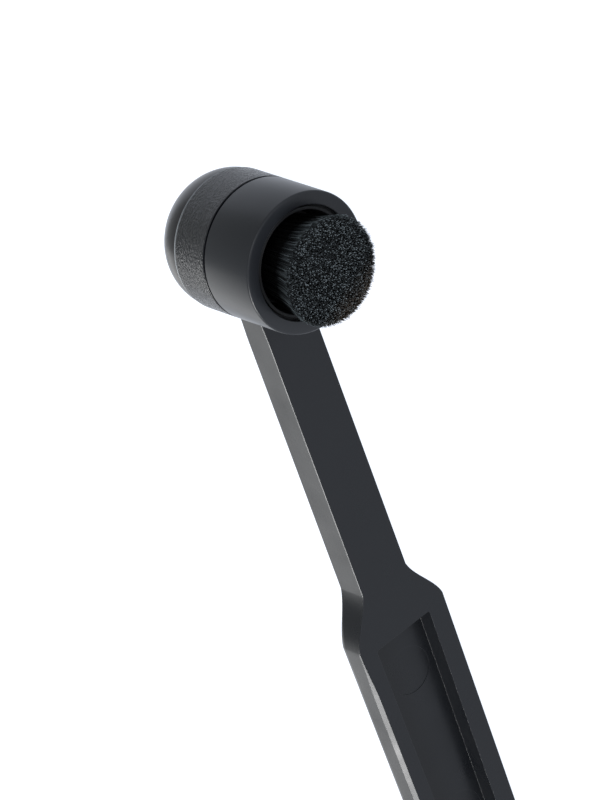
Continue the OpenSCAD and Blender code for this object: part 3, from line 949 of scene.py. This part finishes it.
def bristle_tree():
    """Filaments that end on a flat disc and fan out from one common centre."""
    tree = bpy.data.node_groups.new("filament_tuft", "GeometryNodeTree")
    add = tree.interface.new_socket
    add(name="Geometry", in_out="INPUT", socket_type="NodeSocketGeometry")
    for kind, labels in INPUTS:
        for label, value in labels.items():
            socket = add(name=label, in_out="INPUT", socket_type="NodeSocket" + kind)
            socket.default_value = value
    add(name="Material", in_out="INPUT", socket_type="NodeSocketMaterial")
    add(name="Geometry", in_out="OUTPUT", socket_type="NodeSocketGeometry")
    inp = tree.nodes.new("NodeGroupInput").outputs

    def number(operation, *terms):
        return maths(tree, operation, *terms)

    def vector(operation, *terms, **values):
        return vector_maths(tree, operation, *terms, **values)

    def made(kind, values=None, **settings):
        return node(tree, kind, values, **settings).outputs

    def random_float(low, high, seed_step):
        seed = number("ADD", inp["Seed"], seed_step)
        return made("FunctionNodeRandomValue", {2: low, 3: high, "Seed": seed},
                    data_type="FLOAT")[1]

    def random_within(label, seed_step):
        return random_float(number("MULTIPLY", inp[label], -1.0), inp[label], seed_step)

    def combine(x, y, z):
        return made("ShaderNodeCombineXYZ", {0: x, 1: y, 2: z})[0]

    def stored(geometry, name, value):
        return made("GeometryNodeStoreNamedAttribute", {
            "Geometry": geometry, "Name": name, "Value": value},
            data_type="FLOAT", domain="POINT")[0]

    def sideways(noise):
        """A noise colour as a push across the head's axis, from -1 to 1."""
        return vector("MULTIPLY", vector("SUBTRACT", noise["Color"], (0.5, 0.5, 0.5)),
                      (2.0, 0.0, 2.0))

    # Tips: evenly laid over a disc or ring, then scattered, clumped and unevenly cut.
    index = made("GeometryNodeInputIndex")[0]
    inner_sq = number("MULTIPLY", inp["Inner Radius"], inp["Inner Radius"])
    outer_sq = number("MULTIPLY", inp["Outer Radius"], inp["Outer Radius"])
    counted = number("DIVIDE", number("ADD", index, 0.5), inp["Strands"])
    radius = number("SQRT", number("ADD", inner_sq, number(
        "MULTIPLY", counted, number("SUBTRACT", outer_sq, inner_sq))))
    turned_by = number("FRACT", number("MULTIPLY", index, GOLDEN_TURN))
    angle = number("ADD", inp["Start Angle"], number(
        "MULTIPLY", turned_by, number("SUBTRACT", inp["End Angle"], inp["Start Angle"])))
    across = number("MULTIPLY", radius, number("COSINE", angle))
    upward = number("MULTIPLY", radius, number("SINE", angle))
    flat_tip = combine(number("ADD", across, random_within("Scatter", 11)), 0.0,
                       number("ADD", upward, random_within("Scatter", 23)))
    clumps = made("ShaderNodeTexNoise", {"Vector": flat_tip, "Scale": CLUMP_SCALE,
                                         "Detail": 1.0})
    drift = vector("SCALE", sideways(clumps), Scale=inp["Clump"])
    share = number("MULTIPLY", number("ADD", random_float(0.0, 1.0, 37), clumps["Fac"]), 0.5)
    short_by = number("MULTIPLY", share, inp["Uneven Tips"])
    tip = vector("ADD", vector("ADD", flat_tip, drift), combine(0.0, short_by, 0.0))
    points = made("GeometryNodePoints", {"Count": inp["Strands"]})[0]
    tips = made("GeometryNodeSetPosition", {"Geometry": points, "Position": tip})[0]
    tips = stored(tips, "strand", random_float(0.0, 1.0, 41))

    # Strands: a line with its points crowded towards the tip, planted along each heading.
    centre = combine(0.0, inp["Fan Distance"], 0.0)
    back = vector("NORMALIZE", vector("SUBTRACT", centre, tip))
    lean = combine(random_within("Lean", 51), 0.0, random_within("Lean", 67))
    heading = vector("NORMALIZE", vector("ADD", back, lean))
    align = made("FunctionNodeAlignRotationToVector", {"Vector": heading}, axis="Z")[0]
    line = made("GeometryNodeCurvePrimitiveLine", {"End": combine(0.0, 0.0, inp["Length"])})[0]
    divided = made("GeometryNodeResampleCurve", {"Curve": line, "Count": inp["Points Along"]})[0]
    step = number("POWER", made("GeometryNodeSplineParameter")["Factor"], 3.0)
    crowded = made("GeometryNodeSetPosition", {
        "Geometry": divided,
        "Position": combine(0.0, 0.0, number("MULTIPLY", step, inp["Length"]))})[0]
    planted = made("GeometryNodeInstanceOnPoints", {
        "Points": tips, "Instance": crowded, "Rotation": align})[0]
    strands = made("GeometryNodeRealizeInstances", {0: planted})[0]

    # Wave and splay: each strand has its own noise, and some stand away near the tip.
    spline = made("GeometryNodeSplineParameter")
    own = made("GeometryNodeInputNamedAttribute", {"Name": "strand"}, data_type="FLOAT")[0]
    noise = made("ShaderNodeTexNoise", {
        "Vector": combine(spline["Factor"], 0.0, 0.0), "W": number("MULTIPLY", own, STRAND_SPREAD),
        "Scale": WAVE_SCALE}, noise_dimensions="4D")
    wave = vector("SCALE", sideways(noise), Scale=inp["Wave"])
    outward = vector("NORMALIZE", vector("MULTIPLY", made("GeometryNodeInputPosition")[0],
                                         (1.0, 0.0, 1.0)))
    free = number("MAXIMUM", number("SUBTRACT", 1.0, number(
        "DIVIDE", spline["Length"], inp["Splay Reach"])), 0.0)
    push = number("MULTIPLY", number("MULTIPLY", number("POWER", free, 2.0), own), inp["Splay"])
    offset = vector("ADD", wave, vector("SCALE", outward, Scale=push))
    waved = made("GeometryNodeSetPosition", {"Geometry": strands, "Offset": offset})[0]
    # The distance from the tip drives the painted shade in the filament material.
    waved = stored(waved, "from_tip", number("DIVIDE", spline["Length"], inp["Lit Length"]))

    # Skin: a thin prism round each strand, narrower at the tip.
    profile = made("GeometryNodeCurvePrimitiveCircle", {
        "Resolution": inp["Sides"], "Radius": inp["Thickness"]})[0]
    taper = made("ShaderNodeMapRange", {
        "Value": spline["Factor"], "From Max": TAPER_SHARE, "To Min": inp["Tip Width"],
        "To Max": 1.0})["Result"]
    skinned = made("GeometryNodeCurveToMesh", {
        "Curve": waved, "Profile Curve": profile, "Fill Caps": True, "Scale": taper})[0]
    solid = made("GeometryNodeRealizeInstances", {0: skinned})[0]
    finished = made("GeometryNodeSetMaterial", {"Geometry": solid, "Material": inp["Material"]})
    feed(tree.nodes.new("NodeGroupOutput"), {"Geometry": finished[0]})
    return tree


TUFT = bristle_tree()
print("tree", TUFT.name, "made with", len(TUFT.nodes), "nodes")

# %% [markdown]
# Each strand carries two values from the tree: its own random number, which shifts its tone
# so that the cut face looks stippled, the brightest strands being painted glints; and its
# distance from the tip, which darkens it with painted shade as it goes down into the bundle,
# where little light reaches. Tips on the handle's side have bleached to a warmer brown, as
# hair does.

# %% Material: filament
# Random strand tones; the bright end is a painted highlight on the cut tips.
STRAND_TONES_AND_GLINTS = ((0.0, (0.003, 0.0038, 0.0042, 1)), (0.62, (0.011, 0.0135, 0.0150, 1)),
                (1.0, (0.100, 0.118, 0.128, 1)))
BLEACHED = (0.060, 0.042, 0.028, 1)
BLEACHED_SIDE = (-0.93, -0.15, -0.36)
BLEACHED_FROM, BLEACHED_TO = 4.4 * MM, 8.8 * MM
PAINTED_SHADE_TONE = 0.02
STRAND_SHINE = 0.18


def filament_material():
    """Black filament with random tone and painted glints, painted shade down from the tip, and
    browner tips on one side.
    """
    material, tree, shader = new_material("black_filament")
    own = node(tree, "ShaderNodeAttribute", attribute_name="strand").outputs["Fac"]
    below = node(tree, "ShaderNodeAttribute", attribute_name="from_tip").outputs["Fac"]
    at = node(tree, "ShaderNodeTexCoord").outputs["Object"]
    tone = node(tree, "ShaderNodeValToRGB", {"Fac": own})
    ramp = tone.color_ramp.elements
    ramp.new(STRAND_TONES_AND_GLINTS[1][0])
    for element, (_, colour) in zip(ramp, STRAND_TONES_AND_GLINTS):
        element.color = colour
    # Painted shade: the colour darkens with the distance from the tip.
    depth = node(tree, "ShaderNodeMapRange", {
        "Value": below, "From Min": 0.1, "From Max": 1.0, "To Min": 1.0,
        "To Max": PAINTED_SHADE_TONE}).outputs["Result"]
    off_rim = vector_maths(tree, "SUBTRACT", at, tuple(RIM))
    side = vector_maths(tree, "DOT_PRODUCT", off_rim, BLEACHED_SIDE)
    warm = node(tree, "ShaderNodeMapRange", {
        "Value": side, "From Min": BLEACHED_FROM, "From Max": BLEACHED_TO, "To Min": 0.0,
        "To Max": 1.0}).outputs["Result"]
    patch = node(tree, "ShaderNodeTexNoise", {"Vector": at, "Scale": 700.0, "Detail": 2.0})
    rough = node(tree, "ShaderNodeMapRange", {"Value": own, "To Min": 0.22, "To Max": 0.42})
    shaded = mixed(tree, 1.0, tone.outputs["Color"], depth, blend_type="MULTIPLY")
    browned = mixed(tree, 1.0, BLEACHED, depth, blend_type="MULTIPLY")
    share = maths(tree, "MULTIPLY", warm, patch.outputs["Fac"])
    feed(shader, {"Base Color": mixed(tree, share, shaded, browned),
                  "Roughness": rough.outputs["Result"], "Specular IOR Level": STRAND_SHINE})
    return material


black_filament = filament_material()
print("filament material ready")

# %% [markdown]
# The tree runs three times. The middle is many short, thick filaments seen end on; the flank
# is long, fine ones that splay a little; a dozen strays stand out on the lower side.

# %% Grow the tuft
TIPS_PROUD = 0.12 * MM
STRAND_SHARP = 60
FAN = TIP_R * (TIP_AHEAD + FERRULE_FRONT) / (TIP_R - radii_at("bristle_tuft", FERRULE_FRONT)[1])


def filaments(name, **sizes):
    """One run of the tree, turned into a plain mesh that rides with the handle."""
    holder = placed("growth", bpy.data.meshes.new("growth"))
    growth = holder.modifiers.new("growth", "NODES")
    growth.node_group = TUFT
    sockets = {item.name: item.identifier for item in TUFT.interface.items_tree
               if item.in_out == "INPUT"}
    growth[sockets["Material"]] = black_filament
    growth[sockets["Fan Distance"]] = FAN
    for label, value in sizes.items():
        growth[sockets[label.replace("_", " ").title()]] = value
    mesh = baked(holder)
    mesh.transform(Matrix.Translation((AXIS_X, RIM_Y - TIP_AHEAD - TIPS_PROUD, AXIS_Z)))
    smooth(mesh, STRAND_SHARP)
    mesh.calc_loop_triangles()
    print(f"{name}: {len(mesh.loop_triangles)} triangles, finish {mesh.materials[0].name}")
    tie(placed(name, mesh), "handle_body", "bristle", "bristle_tuft")


print(f"filaments fan from a point {FAN / MM:.1f} mm behind the tip")
filaments("bristles_middle", strands=3400, inner_radius=0.0, outer_radius=TIP_R - 0.10 * MM,
          length=2.2 * MM, thickness=0.078 * MM, lean=0.05, wave=0.02 * MM,
          uneven_tips=0.45 * MM, clump=0.05 * MM, scatter=0.06 * MM, lit_length=0.20 * MM,
          splay=0.0, tip_width=0.85, points_along=3, sides=6, seed=3)
filaments("bristles_flank", strands=2200, inner_radius=TIP_R - 0.6 * MM,
          outer_radius=TIP_R - 0.06 * MM, length=11.5 * MM, thickness=0.048 * MM, lean=0.014,
          wave=0.12 * MM, uneven_tips=0.5 * MM, clump=0.10 * MM, scatter=0.02 * MM,
          lit_length=3.4 * MM, splay=0.42 * MM, splay_reach=3.2 * MM, tip_width=0.5,
          points_along=7, sides=4, seed=8)
filaments("bristles_stray", strands=12, inner_radius=TIP_R - 0.25 * MM,
          outer_radius=TIP_R - 0.15 * MM, start_angle=math.radians(98),
          end_angle=math.radians(140), length=11.0 * MM, thickness=0.045 * MM, lean=0.006,
          wave=0.08 * MM, uneven_tips=0.3 * MM, clump=0.0, scatter=0.02 * MM,
          lit_length=7 * MM, splay=0.45 * MM, splay_reach=5 * MM, tip_width=0.5,
          points_along=9, sides=5, seed=21)

# %% [markdown]
# Light must not shine through the bundle, so the filaments stand in a dark body: a cone that
# ends a little below the cut tips and a little inside the flank.

# %% Tuft body
BODY_INSET = 0.45 * MM
BODY_BELOW = 1.3 * MM
root_depth = turned("bristle_tuft")[1].max()
body_r = radii_at("bristle_tuft", root_depth)[1] - BODY_INSET
body_front = -TIP_AHEAD + BODY_BELOW
tuft_outline = [
    Vector((0, body_front)),
    Vector((TIP_R - BODY_INSET - BODY_BELOW * TIP_R / FAN, body_front)),
    Vector((body_r, FERRULE_FRONT)), Vector((body_r, root_depth)), Vector((0, root_depth))]
finish_mesh("bristle_body", lathe(tuft_outline, SMALL_SEGMENTS), black_filament, "handle_body",
            "bristle", "bristle_tuft")

# %% [markdown]
# ## The cleaning tip and the cap's inside
# These show when the cap is off. The tip is suede over foam, hollowed to fit a lens, and the
# cap holds a disc of carbon-loaded foam that recharges it. Foam is never crisp: its edges
# are rounded and its side draws in a little between its faces.

# %% Tip and sponge
HOLLOW_STEPS = 14
SOFT_SHARP = 60


def foam_disc(name, source, edge, waist, material, body, slot, hollow=0.0):
    """A soft disc with rounded edges, a drawn-in waist and, if asked, a hollowed back face."""
    radius, depth = turned(source)
    r, front, back = radius.max(), depth.min(), depth.max()
    middle = (front + back) / 2
    outline = [Vector((0, front))] + rounded([
        (0, front, 0), (r, front, edge), (r - waist, middle, 0), (r, back, edge),
        (0, back, 0)])[1:-1]
    if hollow > 0:
        rim = r - edge * 2
        for k in range(HOLLOW_STEPS + 1):
            left = 1 - k / HOLLOW_STEPS
            outline.append(Vector((rim * left, back - hollow * (1 - left ** 2))))
    else:
        outline.append(Vector((0, back)))
    piece = finish_mesh(name, lathe(outline, SMALL_SEGMENTS), material, body, slot, source,
                        sharp=SOFT_SHARP)


foam_disc("tip_foam", "tip_cushion", 0.15 * MM, 0.15 * MM, foam, "handle_body", "foam")
foam_disc("tip_suede", "tip_pad", 0.3 * MM, 0.05 * MM, carbon_suede, "handle_body", "tip_suede",
          hollow=0.5 * MM)
foam_disc("cap_sponge", "carbon_sponge", 0.2 * MM, 0.1 * MM, foam, "cap_body", "foam")

# %% [markdown]
# The rest of the CAD pieces already have the right shape, so they only take a finish. They
# are the small turned and pressed parts that show through gaps or when the head is open.

# %% Carried-over pieces
FINISHES = {
    "stop_ring": black_anodised, "brush_ferrule": black_anodised, "tuft_glue": resin,
    "centre_screw": bright_steel, "screw_washer": bright_steel, "friction_ring": seal_rubber,
    "pad_holder": inner_plastic, "guard_collar": inner_plastic, "detent_ring": seal_rubber,
    "cap_liner": inner_plastic,
}
for name, finish in FINISHES.items():
    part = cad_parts[name]
    part.data.materials.clear()
    part.data.materials.append(finish)
    print(name, "finished in", finish.name)
